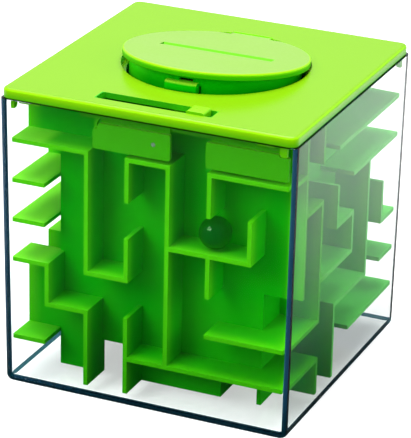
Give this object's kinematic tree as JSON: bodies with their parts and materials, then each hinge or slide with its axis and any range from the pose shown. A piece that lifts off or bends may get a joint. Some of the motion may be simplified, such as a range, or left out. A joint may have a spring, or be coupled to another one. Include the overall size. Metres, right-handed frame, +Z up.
{
  "type": "3d maze ball puzzle",
  "caption": "Clear cube gift box with a ball maze on all faces of an inner chamber, hinged round coin door in the lid, and a slide lock held by a gate pawl",
  "frame": {"origin": "middle of the clear case's underside", "axes": "+Z up through the lid, -Y is the front face, where the slide lock is, +X to the right seen from the front"},
  "size_m": [0.09, 0.09, 0.0974],
  "materials": {
    "clear_plastic": "polished clear acrylic-like plastic",
    "green_plastic": "gloss, slightly translucent",
    "lid_plastic": "gloss, slightly translucent",
    "steel": "drawn wire",
    "ball": "polished translucent green"
  },
  "bodies": {
    "root": {"clear_case": "clear_plastic", "gift_chamber": "green_plastic", "front_shelves": "green_plastic", "front_walls": "green_plastic", "right_shelves": "green_plastic", "right_walls": "green_plastic", "back_shelves": "green_plastic", "back_walls": "green_plastic", "left_shelves": "green_plastic", "left_walls": "green_plastic", "floor_fins_lengthwise": "green_plastic", "floor_fins_crosswise": "green_plastic", "lid_plate": "lid_plastic", "gate_housing": "green_plastic", "corner_cover": "green_plastic", "slide_bed": "green_plastic", "door_hinge_pin": "steel", "gate_pin": "steel"},
    "door": {"coin_door": "lid_plastic"},
    "slide": {"slide_latch": "lid_plastic"},
    "gate": {"gate_pawl": "green_plastic"},
    "ball": {"maze_ball": "ball"}
  },
  "joints": [
    {"name": "door_hinge", "type": "hinge", "parent": "root", "child": "door", "pos_m": [0.0007, 0.029, 0.09], "axis": [-1, 0, 0], "range_deg": [-6.8, 80]},
    {"name": "slide_travel", "type": "slide", "parent": "root", "child": "slide", "axis": [1, 0, 0], "range_m": [-0.0245, 0.0015]},
    {"name": "gate_pivot", "type": "hinge", "parent": "root", "child": "gate", "pos_m": [0.0017, -0.0391, 0.0813], "axis": [0, 1, 0], "range_deg": [0, 9]},
    {"name": "ball_roll", "type": "slide", "parent": "root", "child": "ball", "axis": [1, 0, 0], "range_m": [-0.0068, 0.0066]}
  ]
}
